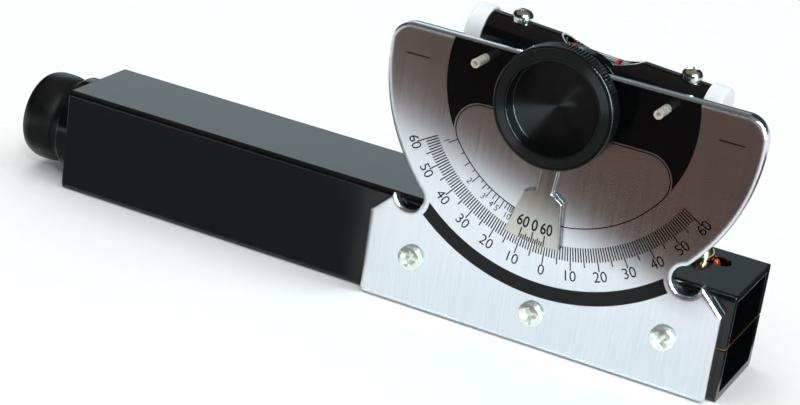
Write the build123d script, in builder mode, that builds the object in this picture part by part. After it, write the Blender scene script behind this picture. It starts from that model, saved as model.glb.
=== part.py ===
from build123d import *
import math
import os

os.makedirs("parts", exist_ok=True)

# A pocket clinometer. x runs along the sight tube towards its open end and is 0 at the pivot,
# y is 0 in the middle of the tube with the reader at -y, and z is 0 at the tube's base.
# All lengths are in millimetres.

# Sight tube
tube_size = 20.0
tube_wall = 1.5
tube_corner_radius = 1.0
bore_corner_radius = 0.5
tube_length = 134.7
pivot_to_open_end = 34.3
pivot_height = 46.7

# Clearances and small allowances that several pieces share
running_clearance = 0.05
slip_clearance = 0.1
cut_margin = 0.5

# Viewing window under the level, and the slot for the mirror's screw, both in the top wall
view_window_length = 17.0
view_window_width = 9.0
view_window_y = 2.0
slot_length = 9.6
slot_width = 4.0
slot_ahead_of_screw = 0.9

# Arc plate: a half disc above, a bracket below, two notches between them
plate_thickness = 2.0
plate_radius = 34.4
plate_top = 5.4
plate_top_corner_radius = 4.0
plate_edge_radius = 0.3
bracket_end_gap = 1.0
bracket_shift = -0.4
bracket_base_height = 0.3
bracket_base_corner_radius = 0.8
bracket_shoulder_height = 16.4
notch_radius = 2.75
notch_angle = 45.5
notch_bite = 0.35

# Plate screws
plate_screw_spacing = 24.1
plate_side_screw_height = 9.65
plate_middle_screw_height = 6.35
plate_screw_radius = 1.25
plate_screw_overrun = 0.4
plate_screw_head_radius = 2.36
plate_screw_head_height = 1.5
plate_screw_hole_clearance = 0.15
nut_strip_margin = 3.6
nut_strip_corner_radius = 1.0
nut_strip_thickness = 1.5

# Stop pins
stop_pin_spacing = 16.6
stop_pin_shift = 0.25
stop_pin_rise = 2.75
stop_pin_radius = 0.8
stop_pin_reach = 4.3
stop_pin_hollow_radius = 0.45
stop_pin_hollow_depth = 1.5

# Pivot: bush in the plate, shaft in the bush
shaft_radius = 2.5
shaft_end_radius = 2.0
bush_wall = 0.45
bush_flange_radius = 4.0
bush_flange_thickness = 0.8
washer_thickness = 0.4
washer_radius = 5.8

# Vernier arm. The index reads this many degrees as it stands, turned about +y.
index_reading = 5.0
arm_thickness = 1.0
arm_ring_radius = 5.0
arm_neck_width = 2.9
arm_neck_reach = 17.2
vernier_inner_radius = 18.7
vernier_outer_radius = 27.1
vernier_half_angle = 11.0
arm_bend_start = 7.5
arm_bend_end = 10.5

# Knob
knob_radius = 10.8
knob_rim_depth = 3.6
knob_edge_chamfer = 0.4
knob_rim_wall = 2.25
knob_floor_thickness = 0.8
knob_hub_radius = 4.5
knob_hub_length = 2.9
knurl_count = 110
knurl_depth = 0.2
knurl_width = 0.42
set_screw_radius = 1.0
set_screw_inset = 0.2

# Level: housing, caps, glass and the carrier that joins them to the shaft. The level is trimmed
# this many degrees against the arm, and its upper window is a round scoop that leans back.
level_trim = -0.9
housing_radius = 4.33
housing_wall = 0.6
housing_half_length = 22.6
housing_rise = 2.0
housing_shift = -0.6
window_scoop_radius = 16.0
window_scoop_floor = 2.25
window_scoop_shift = 0.2
window_scoop_lean = 6.5
lower_window_length = 15.6
lower_window_width = 4.0
cap_wall = 0.5
cap_skirt = 2.0
cap_end_thickness = 1.3
cap_edge_radius = 0.6
glass_wall = 0.8
glass_to_screw_gap = 2.0
glass_end_thickness = 1.2
stopper_length = 2.0
spirit_clearance = 0.05
bubble_radius = 1.1
bubble_length = 7.4
bubble_end_gap = 0.5
seat_wall = 0.53
seat_inset = 0.7
seat_width = 1.6
vial_screw_spacing = 16.0
vial_screw_shift = 0.1
vial_screw_radius = 1.0
vial_screw_tip_gap = 0.4
vial_screw_seat_depth = 0.3
vial_screw_head_radius = 1.95
vial_screw_head_height = 2.2
carrier_thickness = 2.0
carrier_disc_radius = 7.8
carrier_end_margin = 1.9
carrier_bar_top = 2.4
ledge_groove_depth = 0.8
ledge_thickness = 3.2
ledge_overhang = 0.3

# Mirror and its holder, in the half of the bore away from the reader
mirror_inner_y = 0.3
mirror_side_gap = 0.4
mirror_end_gap = 2.2
mirror_thickness = 1.0
mirror_corner_radius = 0.4
holder_thickness = 1.2
holder_inset = 0.6
holder_past_screw = 5.3
mirror_screw_x = 23.3
mirror_screw_y = 3.5
mirror_screw_radius = 1.25
mirror_screw_head_radius = 2.4
mirror_screw_head_height = 2.5
mirror_screw_slot_width = 0.5
mirror_screw_slot_depth = 0.6

# Cross wire
wire_radius = 0.12
wire_bend_radius = 0.3
wire_tail = 3.2
wire_groove_depth = 0.32
wire_groove_width = 0.4

# End plug and eyepiece
plug_flange_radius = 9.45
plug_flange_thickness = 3.0
plug_edge_radius = 0.5
plug_spigot_length = 12.0
draw_tube_radius = 7.0
draw_tube_wall = 0.8
draw_tube_length = 38.5
eyepiece_travel = 15.0
eyecup_radius = 8.7
eyecup_neck_wall = 0.9
eyecup_length = 7.0
eyecup_neck_length = 1.7
eyecup_front_edge = 0.9
eyecup_rear_edge = 1.2
eyecup_front_wall = 2.6
eye_hole_radius = 4.2
eye_hole_flare = 1.4
lens_thickness = 1.2
lens_crown = 1.3
lens_ring_length = 1.4
lens_ring_wall = 0.8
stop_ring_width = 1.4
stop_ring_lip = 0.6
stop_ring_groove = 0.3

# Values worked out from the ones above
tube_half = tube_size / 2
tube_mid = tube_size / 2
bore_size = tube_size - 2 * tube_wall
bore_top = tube_size - tube_wall
tube_rear = pivot_to_open_end - tube_length
plate_back_y = -tube_half
plate_front_y = plate_back_y - plate_thickness
bush_front_y = plate_front_y - bush_flange_thickness
arm_ring_back_y = bush_front_y - slip_clearance
arm_ring_front_y = arm_ring_back_y - arm_thickness
vernier_back_y = plate_front_y - slip_clearance
knob_rim_back_y = arm_ring_front_y - knob_hub_length
washer_front_y = plate_back_y + running_clearance
carrier_front_y = washer_front_y + washer_thickness + running_clearance
carrier_back_y = carrier_front_y + carrier_thickness
shaft_shoulder_y = arm_ring_back_y
bush_radius = shaft_radius + running_clearance + bush_wall
bracket_width = 2 * (pivot_to_open_end - bracket_end_gap)
bracket_shoulder_drop = pivot_height - bracket_shoulder_height
plate_screw_length = plate_thickness + tube_wall + nut_strip_thickness + plate_screw_overrun
nut_strip_length = 2 * (plate_screw_spacing + nut_strip_margin)
nut_strip_height = plate_side_screw_height - plate_middle_screw_height + 2 * nut_strip_margin
knob_recess_radius = knob_radius - knob_rim_wall
set_screw_length = knob_hub_radius - shaft_end_radius - set_screw_inset
housing_bore_radius = housing_radius - housing_wall
cap_radius = housing_radius + cap_wall
glass_radius = housing_bore_radius - seat_wall
glass_bore_radius = glass_radius - glass_wall
glass_half_length = vial_screw_spacing - vial_screw_radius - glass_to_screw_gap
seat_offset = glass_half_length - seat_inset - seat_width / 2
carrier_half_length = vial_screw_spacing + abs(vial_screw_shift) + carrier_end_margin
ledge_top = housing_rise - housing_radius + ledge_groove_depth
ledge_base = ledge_top - ledge_thickness
ledge_back_y = housing_radius + ledge_overhang
vial_screw_seat_rise = housing_rise + housing_radius - vial_screw_seat_depth
vial_screw_length = vial_screw_seat_rise - ledge_base - vial_screw_tip_gap
mirror_outer_y = bore_size / 2 - mirror_side_gap
mirror_y = (mirror_inner_y + mirror_outer_y) / 2
mirror_width = mirror_outer_y - mirror_inner_y
mirror_length = math.sqrt(2) * bore_size - 2 * mirror_end_gap
holder_width = mirror_width - 2 * holder_inset
holder_end_x = mirror_screw_x + holder_past_screw
slot_x = mirror_screw_x + slot_ahead_of_screw
eyecup_neck_radius = draw_tube_radius + eyecup_neck_wall
plate_screw_points = [
    (bracket_shift - plate_screw_spacing, plate_side_screw_height - pivot_height),
    (bracket_shift, plate_middle_screw_height - pivot_height),
    (bracket_shift + plate_screw_spacing, plate_side_screw_height - pivot_height),
]
stop_pin_points = [
    (stop_pin_shift - stop_pin_spacing, stop_pin_rise),
    (stop_pin_shift + stop_pin_spacing, stop_pin_rise),
]
vial_screw_points = [
    (vial_screw_shift - vial_screw_spacing, 0),
    (vial_screw_shift + vial_screw_spacing, 0),
]
arm_tilt = math.radians(index_reading)
level_reading = index_reading + level_trim
level_tilt = math.radians(level_reading)
level_along = Vector(math.cos(level_tilt), 0, -math.sin(level_tilt))
level_up = Vector(math.sin(level_tilt), 0, math.cos(level_tilt))
pivot_point = Vector(0, 0, pivot_height)
housing_centre = pivot_point + level_up * housing_rise + level_along * housing_shift


def dial_plane(y, turned=0.0):
    """Upright plane at depth y, centred on the pivot, facing the reader, turned about +y."""
    angle = math.radians(turned)
    along = (math.cos(angle), 0, -math.sin(angle))
    return Plane(origin=(0, y, pivot_height), x_dir=along, z_dir=(0, -1, 0))


def tube_plane(x):
    """Plane across the sight tube at x, centred on the bore, facing the open end."""
    return Plane(origin=(x, 0, tube_mid), x_dir=(0, 1, 0), z_dir=(1, 0, 0))


def level_plane(offset):
    """Plane across the level at a distance along it from the middle of its housing."""
    return Plane(origin=housing_centre + level_along * offset, x_dir=(0, 1, 0), z_dir=level_along)


def level_top_plane(rise):
    """Plane along the level, square to its upright, at a height above the pivot."""
    return Plane(origin=pivot_point + level_up * rise, x_dir=level_along, z_dir=level_up)


def pan_head_screw(head_radius, head_height, shank_radius, shank_length):
    """Cross-recessed pan-head screw with its seat at z = 0 and its head up."""
    recess_reach = head_radius * 1.15
    recess_width = head_radius * 0.3
    recess_depth = head_height * 0.6
    with BuildPart() as screw:
        with BuildSketch(Plane.XY):
            Circle(head_radius)
        extrude(amount=head_height)
        fillet(screw.edges().group_by(Axis.Z)[-1], head_height * 0.62)
        with BuildSketch(Plane.XY):
            Circle(shank_radius)
        extrude(amount=-shank_length)
        with BuildSketch(Plane.XY.offset(head_height)):
            Rectangle(recess_reach, recess_width)
            Rectangle(recess_width, recess_reach)
        extrude(amount=-recess_depth, mode=Mode.SUBTRACT)
    return screw.part


# The square sight tube, open at both ends
with BuildPart() as sight_tube:
    with BuildSketch(tube_plane(tube_rear)):
        RectangleRounded(tube_size, tube_size, tube_corner_radius)
        RectangleRounded(bore_size, bore_size, bore_corner_radius, mode=Mode.SUBTRACT)
    extrude(amount=tube_length)
    with BuildSketch(Plane.XY.offset(tube_size)):
        with Locations((0, view_window_y)):
            RectangleRounded(view_window_length, view_window_width, 1.0)
        with Locations((slot_x, mirror_screw_y)):
            SlotOverall(slot_length, slot_width)
    extrude(amount=-tube_wall - cut_margin, mode=Mode.SUBTRACT)
    with BuildSketch(dial_plane(plate_back_y)):
        with Locations(*plate_screw_points):
            Circle(plate_screw_radius)
    extrude(amount=-tube_wall - cut_margin, mode=Mode.SUBTRACT)
    with Locations((pivot_to_open_end, -tube_half, tube_mid), (pivot_to_open_end, tube_half, tube_mid)):
        Box(2 * (wire_tail + wire_groove_depth), 2 * wire_groove_depth, wire_groove_width, mode=Mode.SUBTRACT)
    with Locations((pivot_to_open_end, 0, tube_mid)):
        Box(2 * wire_groove_depth, tube_size, wire_groove_width, mode=Mode.SUBTRACT)
sight_tube.part.label = "sight_tube"
export_step(sight_tube.part, "parts/sight_tube.step")

# One plate: the graduated half disc and the bracket below it
notch_reach = plate_radius + notch_radius - notch_bite
notch_x = notch_reach * math.sin(math.radians(notch_angle))
notch_z = -notch_reach * math.cos(math.radians(notch_angle))
bracket_top = notch_z + 0.6 * notch_radius
bracket_base = bracket_base_height - pivot_height
bracket_left = bracket_shift - bracket_width / 2
bracket_right = bracket_shift + bracket_width / 2
shoulder_run = bracket_top + bracket_shoulder_drop
with BuildPart() as arc_plate:
    with BuildSketch(dial_plane(plate_back_y)):
        Circle(plate_radius)
        with Locations((0, plate_top)):
            Rectangle(2 * plate_radius, plate_radius, align=(Align.CENTER, Align.MIN), mode=Mode.SUBTRACT)
        fillet(vertices().group_by(Axis.Y)[-1], plate_top_corner_radius)
        with BuildLine():
            Polyline(
                (bracket_left, bracket_base),
                (bracket_right, bracket_base),
                (bracket_right, -bracket_shoulder_drop),
                (bracket_right - shoulder_run, bracket_top),
                (bracket_left + shoulder_run, bracket_top),
                (bracket_left, -bracket_shoulder_drop),
                close=True,
            )
        make_face()
        fillet(vertices().group_by(Axis.Y)[0], bracket_base_corner_radius)
        with Locations((bracket_shift - notch_x, notch_z), (bracket_shift + notch_x, notch_z)):
            Circle(notch_radius, mode=Mode.SUBTRACT)
        Circle(bush_radius, mode=Mode.SUBTRACT)
        with Locations(*stop_pin_points):
            Circle(stop_pin_radius, mode=Mode.SUBTRACT)
        with Locations(*plate_screw_points):
            Circle(plate_screw_radius + plate_screw_hole_clearance, mode=Mode.SUBTRACT)
    extrude(amount=plate_thickness)
    fillet(arc_plate.faces().sort_by(Axis.Y)[0].outer_wire().edges(), plate_edge_radius)
arc_plate.part.label = "arc_plate"
export_step(arc_plate.part, "parts/arc_plate.step")

# Three pan heads hold the bracket, and screw into a strip inside the front wall
plate_screw = pan_head_screw(
    plate_screw_head_radius, plate_screw_head_height, plate_screw_radius, plate_screw_length
)
with BuildPart(dial_plane(plate_front_y)) as plate_screws:
    with Locations(*plate_screw_points):
        add(plate_screw)
plate_screws.part.label = "plate_screws"
export_step(plate_screws.part, "parts/plate_screws.step")

nut_strip_front_y = plate_back_y + tube_wall
nut_strip_mid = (plate_side_screw_height + plate_middle_screw_height) / 2 - pivot_height
with BuildPart() as nut_strip:
    with BuildSketch(dial_plane(nut_strip_front_y)):
        with Locations((bracket_shift, nut_strip_mid)):
            RectangleRounded(nut_strip_length, nut_strip_height, nut_strip_corner_radius)
        with Locations(*plate_screw_points):
            Circle(plate_screw_radius, mode=Mode.SUBTRACT)
    extrude(amount=-nut_strip_thickness)
nut_strip.part.label = "nut_strip"
export_step(nut_strip.part, "parts/nut_strip.step")

# Two hollow-ended pins that the vernier arm stops against
with BuildPart() as stop_pins:
    with BuildSketch(dial_plane(plate_back_y)):
        with Locations(*stop_pin_points):
            Circle(stop_pin_radius)
    extrude(amount=plate_thickness + stop_pin_reach)
    with BuildSketch(dial_plane(plate_front_y - stop_pin_reach)):
        with Locations(*stop_pin_points):
            Circle(stop_pin_hollow_radius)
    extrude(amount=-stop_pin_hollow_depth, mode=Mode.SUBTRACT)
stop_pins.part.label = "stop_pins"
export_step(stop_pins.part, "parts/stop_pins.step")

# Flanged bush in the plate, and the shaft that turns in it
with BuildPart() as pivot_bush:
    with BuildSketch(dial_plane(plate_back_y)):
        Circle(bush_radius)
    extrude(amount=plate_thickness)
    with BuildSketch(dial_plane(plate_front_y)):
        Circle(bush_flange_radius)
    extrude(amount=bush_flange_thickness)
    with BuildSketch(dial_plane(plate_back_y)):
        Circle(shaft_radius + running_clearance)
    extrude(amount=plate_thickness + bush_flange_thickness, mode=Mode.SUBTRACT)
pivot_bush.part.label = "pivot_bush"
export_step(pivot_bush.part, "parts/pivot_bush.step")

shaft_front_y = knob_rim_back_y + slip_clearance
rivet_head_thickness = 0.6
rivet_head_radius = shaft_radius
with BuildPart() as pivot_shaft:
    with BuildSketch(dial_plane(carrier_front_y)):
        Circle(shaft_radius)
    extrude(amount=carrier_front_y - shaft_shoulder_y)
    with BuildSketch(dial_plane(shaft_shoulder_y)):
        Circle(shaft_end_radius)
    extrude(amount=shaft_shoulder_y - shaft_front_y)
    with BuildSketch(dial_plane(carrier_back_y)):
        Circle(shaft_end_radius)
    extrude(amount=carrier_thickness)
    with BuildSketch(dial_plane(carrier_back_y + rivet_head_thickness)):
        Circle(rivet_head_radius)
    extrude(amount=rivet_head_thickness)
    fillet(pivot_shaft.edges().group_by(Axis.Y)[-1], rivet_head_thickness * 0.6)
pivot_shaft.part.label = "pivot_shaft"
export_step(pivot_shaft.part, "parts/pivot_shaft.step")

with BuildPart() as friction_washer:
    with BuildSketch(dial_plane(washer_front_y + washer_thickness)):
        Circle(washer_radius)
        Circle(shaft_radius + slip_clearance, mode=Mode.SUBTRACT)
    extrude(amount=washer_thickness)
friction_washer.part.label = "friction_washer"
export_step(friction_washer.part, "parts/friction_washer.step")

# Vernier arm: its side view, cut to its front view
arm_side = Plane(
    origin=(0, 0, pivot_height),
    x_dir=(-math.sin(arm_tilt), 0, -math.cos(arm_tilt)),
    z_dir=(-math.cos(arm_tilt), 0, math.sin(arm_tilt)),
)
vernier_corner = (
    vernier_outer_radius * math.sin(math.radians(vernier_half_angle)),
    -vernier_outer_radius * math.cos(math.radians(vernier_half_angle)),
)
vernier_shoulder = (
    vernier_inner_radius * math.sin(math.radians(vernier_half_angle)),
    -vernier_inner_radius * math.cos(math.radians(vernier_half_angle)),
)
with BuildPart() as index_arm:
    with BuildSketch(arm_side):
        with BuildLine():
            Polyline(
                (-arm_ring_radius - cut_margin, -arm_ring_back_y),
                (arm_bend_start, -arm_ring_back_y),
                (arm_bend_end, -vernier_back_y),
                (vernier_outer_radius + cut_margin, -vernier_back_y),
                (vernier_outer_radius + cut_margin, -vernier_back_y + arm_thickness),
                (arm_bend_end, -vernier_back_y + arm_thickness),
                (arm_bend_start, -arm_ring_back_y + arm_thickness),
                (-arm_ring_radius - cut_margin, -arm_ring_back_y + arm_thickness),
                close=True,
            )
        make_face()
    extrude(amount=2 * arm_ring_radius, both=True)
    with BuildSketch(dial_plane(plate_front_y, index_reading)):
        with BuildLine():
            Polyline(
                (-vernier_corner[0], vernier_corner[1]),
                (-vernier_shoulder[0], vernier_shoulder[1]),
                (-arm_neck_width / 2, -arm_neck_reach),
                (-arm_neck_width / 2, 0),
                (arm_neck_width / 2, 0),
                (arm_neck_width / 2, -arm_neck_reach),
                vernier_shoulder,
                vernier_corner,
            )
            CenterArc((0, 0), vernier_outer_radius, 270 - vernier_half_angle, 2 * vernier_half_angle)
        make_face()
        Circle(arm_ring_radius)
        Circle(shaft_end_radius, mode=Mode.SUBTRACT)
    extrude(amount=plate_front_y - arm_ring_front_y, mode=Mode.INTERSECT)
index_arm.part.label = "index_arm"
export_step(index_arm.part, "parts/index_arm.step")

# Knob: knurled rim, turned recess in front, hub behind
knob_front_y = knob_rim_back_y - knob_rim_depth
set_screw_y = (arm_ring_front_y + knob_rim_back_y) / 2
with BuildPart() as knob:
    with BuildSketch(dial_plane(knob_rim_back_y)):
        Circle(knob_radius)
    extrude(amount=knob_rim_depth)
    chamfer(knob.edges().filter_by(GeomType.CIRCLE), knob_edge_chamfer)
    with BuildSketch(dial_plane(knob_rim_back_y)):
        with PolarLocations(knob_radius, knurl_count):
            Polygon((0.1, -knurl_width / 2), (0.1, knurl_width / 2), (-knurl_depth, 0), align=None)
    extrude(amount=knob_rim_depth, mode=Mode.SUBTRACT)
    with BuildSketch(dial_plane(knob_front_y)):
        Circle(knob_recess_radius)
    extrude(amount=knob_floor_thickness - knob_rim_depth, mode=Mode.SUBTRACT)
    with BuildSketch(dial_plane(arm_ring_front_y)):
        Circle(knob_hub_radius)
    extrude(amount=knob_hub_length)
    with BuildSketch(dial_plane(arm_ring_front_y)):
        Circle(shaft_end_radius)
    extrude(amount=arm_ring_front_y - shaft_front_y, mode=Mode.SUBTRACT)
    with BuildSketch(level_top_plane(0)):
        with Locations((0, set_screw_y)):
            Circle(set_screw_radius)
    extrude(amount=knob_hub_radius + cut_margin, mode=Mode.SUBTRACT)
knob.part.label = "knob"
export_step(knob.part, "parts/knob.step")

with BuildPart() as knob_set_screw:
    with BuildSketch(level_top_plane(shaft_end_radius)):
        with Locations((0, set_screw_y)):
            Circle(set_screw_radius)
    extrude(amount=set_screw_length)
    with BuildSketch(level_top_plane(shaft_end_radius + set_screw_length)):
        with Locations((0, set_screw_y)):
            RegularPolygon(set_screw_radius * 0.5, 6)
    extrude(amount=-set_screw_length / 2, mode=Mode.SUBTRACT)
knob_set_screw.part.label = "knob_set_screw"
export_step(knob_set_screw.part, "parts/knob_set_screw.step")

# Carrier behind the plate: a disc and bar riveted to the shaft, with a ledge under the level
with BuildPart() as vial_carrier:
    with BuildSketch(dial_plane(carrier_back_y, level_reading)):
        Circle(carrier_disc_radius)
        with Locations((0, carrier_bar_top)):
            Rectangle(
                2 * carrier_half_length, carrier_bar_top - ledge_base, align=(Align.CENTER, Align.MAX)
            )
    extrude(amount=carrier_thickness)
    with BuildSketch(level_top_plane(ledge_base)):
        with Locations((0, carrier_front_y)):
            Rectangle(
                2 * carrier_half_length, ledge_back_y - carrier_front_y, align=(Align.CENTER, Align.MIN)
            )
    extrude(amount=ledge_thickness)
    with BuildSketch(level_plane(0)):
        Circle(housing_radius)
    extrude(amount=2 * carrier_half_length, both=True, mode=Mode.SUBTRACT)
    with BuildSketch(level_top_plane(ledge_base)):
        with Locations((housing_shift, 0)):
            SlotOverall(lower_window_length, lower_window_width)
        with Locations(*vial_screw_points):
            Circle(vial_screw_radius)
    extrude(amount=ledge_thickness, mode=Mode.SUBTRACT)
    with BuildSketch(dial_plane(carrier_back_y)):
        Circle(shaft_end_radius)
    extrude(amount=carrier_thickness, mode=Mode.SUBTRACT)
    with BuildSketch(dial_plane(carrier_back_y)):
        Circle(rivet_head_radius + running_clearance)
    extrude(amount=-rivet_head_thickness - running_clearance, mode=Mode.SUBTRACT)
vial_carrier.part.label = "vial_carrier"
export_step(vial_carrier.part, "parts/vial_carrier.step")

# The level's housing: a tube with a scooped window above and a slotted one below
lean = math.radians(window_scoop_lean)
scoop_across = Vector(0, math.cos(lean), 0) - level_up * math.sin(lean)
scoop_up = Vector(0, math.sin(lean), 0) + level_up * math.cos(lean)
scoop_centre = (
    housing_centre
    + level_along * window_scoop_shift
    + scoop_up * (window_scoop_floor + window_scoop_radius)
)
with BuildPart() as vial_housing:
    with BuildSketch(level_plane(-housing_half_length)):
        Circle(housing_radius)
        Circle(housing_bore_radius, mode=Mode.SUBTRACT)
    extrude(amount=2 * housing_half_length)
    with BuildSketch(Plane(origin=scoop_centre, x_dir=level_along, z_dir=scoop_across)):
        Circle(window_scoop_radius)
    extrude(amount=2 * housing_radius, both=True, mode=Mode.SUBTRACT)
    with BuildSketch(level_top_plane(housing_rise)):
        with Locations(*vial_screw_points):
            Circle(vial_screw_radius)
    extrude(amount=housing_radius + cut_margin, mode=Mode.SUBTRACT)
    with BuildSketch(level_top_plane(housing_rise)):
        with Locations((housing_shift, 0)):
            SlotOverall(lower_window_length, lower_window_width)
        with Locations(*vial_screw_points):
            Circle(vial_screw_radius)
    extrude(amount=-housing_radius - cut_margin, mode=Mode.SUBTRACT)
    with BuildSketch(level_top_plane(vial_screw_seat_rise)):
        with Locations(*vial_screw_points):
            Circle(vial_screw_head_radius + running_clearance)
    extrude(amount=vial_screw_seat_depth + cut_margin, mode=Mode.SUBTRACT)
vial_housing.part.label = "vial_housing"
export_step(vial_housing.part, "parts/vial_housing.step")

# Caps over both ends of the housing
for cap_name, side in (("left_end_cap", -1), ("right_end_cap", 1)):
    with BuildPart() as end_cap:
        with BuildSketch(level_plane(side * (housing_half_length - cap_skirt))):
            Circle(cap_radius)
        extrude(amount=side * (cap_skirt + cap_end_thickness))
        outer_face = end_cap.faces().filter_by(GeomType.PLANE).sort_by(Axis.X)[-1 if side > 0 else 0]
        fillet(outer_face.edges(), cap_edge_radius)
        with BuildSketch(level_plane(side * (housing_half_length - cap_skirt))):
            Circle(housing_radius)
        extrude(amount=side * cap_skirt, mode=Mode.SUBTRACT)
    end_cap.part.label = cap_name
    export_step(end_cap.part, f"parts/{cap_name}.step")

# Glass, liquid, stopper and the two soft seats inside the housing
glass_inner_left = -glass_half_length + glass_end_thickness
glass_inner_right = glass_half_length - stopper_length
with BuildPart() as glass_vial:
    with BuildSketch(level_plane(-glass_half_length)):
        Circle(glass_radius)
    extrude(amount=2 * glass_half_length)
    with BuildSketch(level_plane(glass_inner_left)):
        Circle(glass_bore_radius)
    extrude(amount=glass_half_length - glass_inner_left, mode=Mode.SUBTRACT)
    fillet(glass_vial.edges().group_by(Axis.X)[0], glass_end_thickness / 2)
glass_vial.part.label = "glass_vial"
export_step(glass_vial.part, "parts/glass_vial.step")

with BuildPart() as vial_stopper:
    with BuildSketch(level_plane(glass_inner_right)):
        Circle(glass_bore_radius)
    extrude(amount=stopper_length)
vial_stopper.part.label = "vial_stopper"
export_step(vial_stopper.part, "parts/vial_stopper.step")

spirit_radius = glass_bore_radius - spirit_clearance
bubble_rise = housing_rise + spirit_radius - bubble_radius
bubble_shift = housing_shift + glass_inner_left + bubble_end_gap + bubble_length / 2
with BuildPart() as vial_spirit:
    with BuildSketch(level_plane(glass_inner_left + spirit_clearance)):
        Circle(spirit_radius)
    extrude(amount=glass_inner_right - glass_inner_left - 2 * spirit_clearance)
    with BuildSketch(level_top_plane(bubble_rise)):
        with Locations((bubble_shift, 0)):
            SlotOverall(bubble_length, 2 * bubble_radius)
    extrude(amount=spirit_radius, mode=Mode.SUBTRACT)
vial_spirit.part.label = "vial_spirit"
export_step(vial_spirit.part, "parts/vial_spirit.step")

with BuildPart() as vial_seats:
    for seat_middle in (-seat_offset, seat_offset):
        with BuildSketch(level_plane(seat_middle - seat_width / 2)):
            Circle(housing_bore_radius)
            Circle(glass_radius, mode=Mode.SUBTRACT)
        extrude(amount=seat_width)
vial_seats.part.label = "vial_seats"
export_step(vial_seats.part, "parts/vial_seats.step")

vial_screw = pan_head_screw(
    vial_screw_head_radius, vial_screw_head_height, vial_screw_radius, vial_screw_length
)
with BuildPart(level_top_plane(vial_screw_seat_rise)) as vial_screws:
    with Locations(*vial_screw_points):
        add(vial_screw)
vial_screws.part.label = "vial_screws"
export_step(vial_screws.part, "parts/vial_screws.step")

# Mirror at 45 degrees under the level, on a bent strip held by a screw in the tube's slot
mirror_face = Plane(origin=(0, mirror_y, tube_mid), x_dir=(1, 0, 1), z_dir=(-1, 0, 1))
with BuildPart() as mirror:
    with BuildSketch(mirror_face):
        RectangleRounded(mirror_length, mirror_width, mirror_corner_radius)
    extrude(amount=-mirror_thickness)
mirror.part.label = "mirror"
export_step(mirror.part, "parts/mirror.step")

slope_step = math.sqrt(2) * mirror_thickness
leg_step = math.sqrt(2) * holder_thickness
leg_foot_z = tube_mid - mirror_length / 2 * math.sin(math.pi / 4)
strip_base = bore_top - holder_thickness
with BuildPart() as mirror_holder:
    with BuildSketch(Plane.XZ.offset(-mirror_y)):
        with BuildLine():
            Polyline(
                (leg_foot_z - tube_mid + slope_step, leg_foot_z),
                (bore_top - tube_mid + slope_step, bore_top),
                (holder_end_x, bore_top),
                (holder_end_x, strip_base),
                (strip_base - tube_mid + slope_step + leg_step, strip_base),
                (leg_foot_z - tube_mid + slope_step + leg_step, leg_foot_z),
                close=True,
            )
        make_face()
    extrude(amount=holder_width / 2, both=True)
    with BuildSketch(Plane.XY.offset(bore_top)):
        with Locations((mirror_screw_x, mirror_screw_y)):
            Circle(mirror_screw_radius)
    extrude(amount=-holder_thickness, mode=Mode.SUBTRACT)
mirror_holder.part.label = "mirror_holder"
export_step(mirror_holder.part, "parts/mirror_holder.step")

with BuildPart(Plane.XY.offset(tube_size)) as mirror_screw:
    with Locations((mirror_screw_x, mirror_screw_y)):
        Cylinder(
            mirror_screw_head_radius,
            mirror_screw_head_height,
            align=(Align.CENTER, Align.CENTER, Align.MIN),
        )
        fillet(mirror_screw.edges().group_by(Axis.Z)[-1], mirror_screw_head_height * 0.92)
        Cylinder(
            mirror_screw_radius,
            tube_wall + holder_thickness,
            align=(Align.CENTER, Align.CENTER, Align.MAX),
        )
    with BuildSketch(Plane.XY.offset(tube_size + mirror_screw_head_height)):
        with Locations((mirror_screw_x, mirror_screw_y)):
            Rectangle(2 * mirror_screw_head_radius, mirror_screw_slot_width, rotation=30)
    extrude(amount=-mirror_screw_slot_depth, mode=Mode.SUBTRACT)
mirror_screw.part.label = "mirror_screw"
export_step(mirror_screw.part, "parts/mirror_screw.step")

# Cross wire over the open end, its tails laid in the side grooves
wire_x = pivot_to_open_end - wire_groove_depth + 1.5 * wire_radius
wire_y = tube_half - wire_groove_depth + 1.5 * wire_radius
wire_tail_x = pivot_to_open_end - wire_tail
with BuildPart() as cross_wire:
    with BuildLine() as wire_path:
        FilletPolyline(
            (wire_tail_x, -wire_y, tube_mid),
            (wire_x, -wire_y, tube_mid),
            (wire_x, wire_y, tube_mid),
            (wire_tail_x, wire_y, tube_mid),
            radius=wire_bend_radius,
        )
    with BuildSketch(Plane(origin=wire_path.line @ 0, z_dir=wire_path.line % 0)):
        Circle(wire_radius)
    sweep()
cross_wire.part.label = "cross_wire"
export_step(cross_wire.part, "parts/cross_wire.step")

# Plug in the eye end: a round flange outside, a square spigot inside, bored for the draw tube
plug_front = tube_rear - plug_flange_thickness
with BuildPart() as end_plug:
    with BuildSketch(tube_plane(plug_front)):
        Circle(plug_flange_radius)
    extrude(amount=plug_flange_thickness)
    fillet(end_plug.edges().filter_by(GeomType.CIRCLE), plug_edge_radius)
    with BuildSketch(tube_plane(tube_rear)):
        RectangleRounded(bore_size, bore_size, bore_corner_radius)
    extrude(amount=plug_spigot_length)
    with BuildSketch(tube_plane(plug_front)):
        Circle(draw_tube_radius + running_clearance)
    extrude(amount=plug_flange_thickness + plug_spigot_length, mode=Mode.SUBTRACT)
end_plug.part.label = "end_plug"
export_step(end_plug.part, "parts/end_plug.step")

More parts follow.
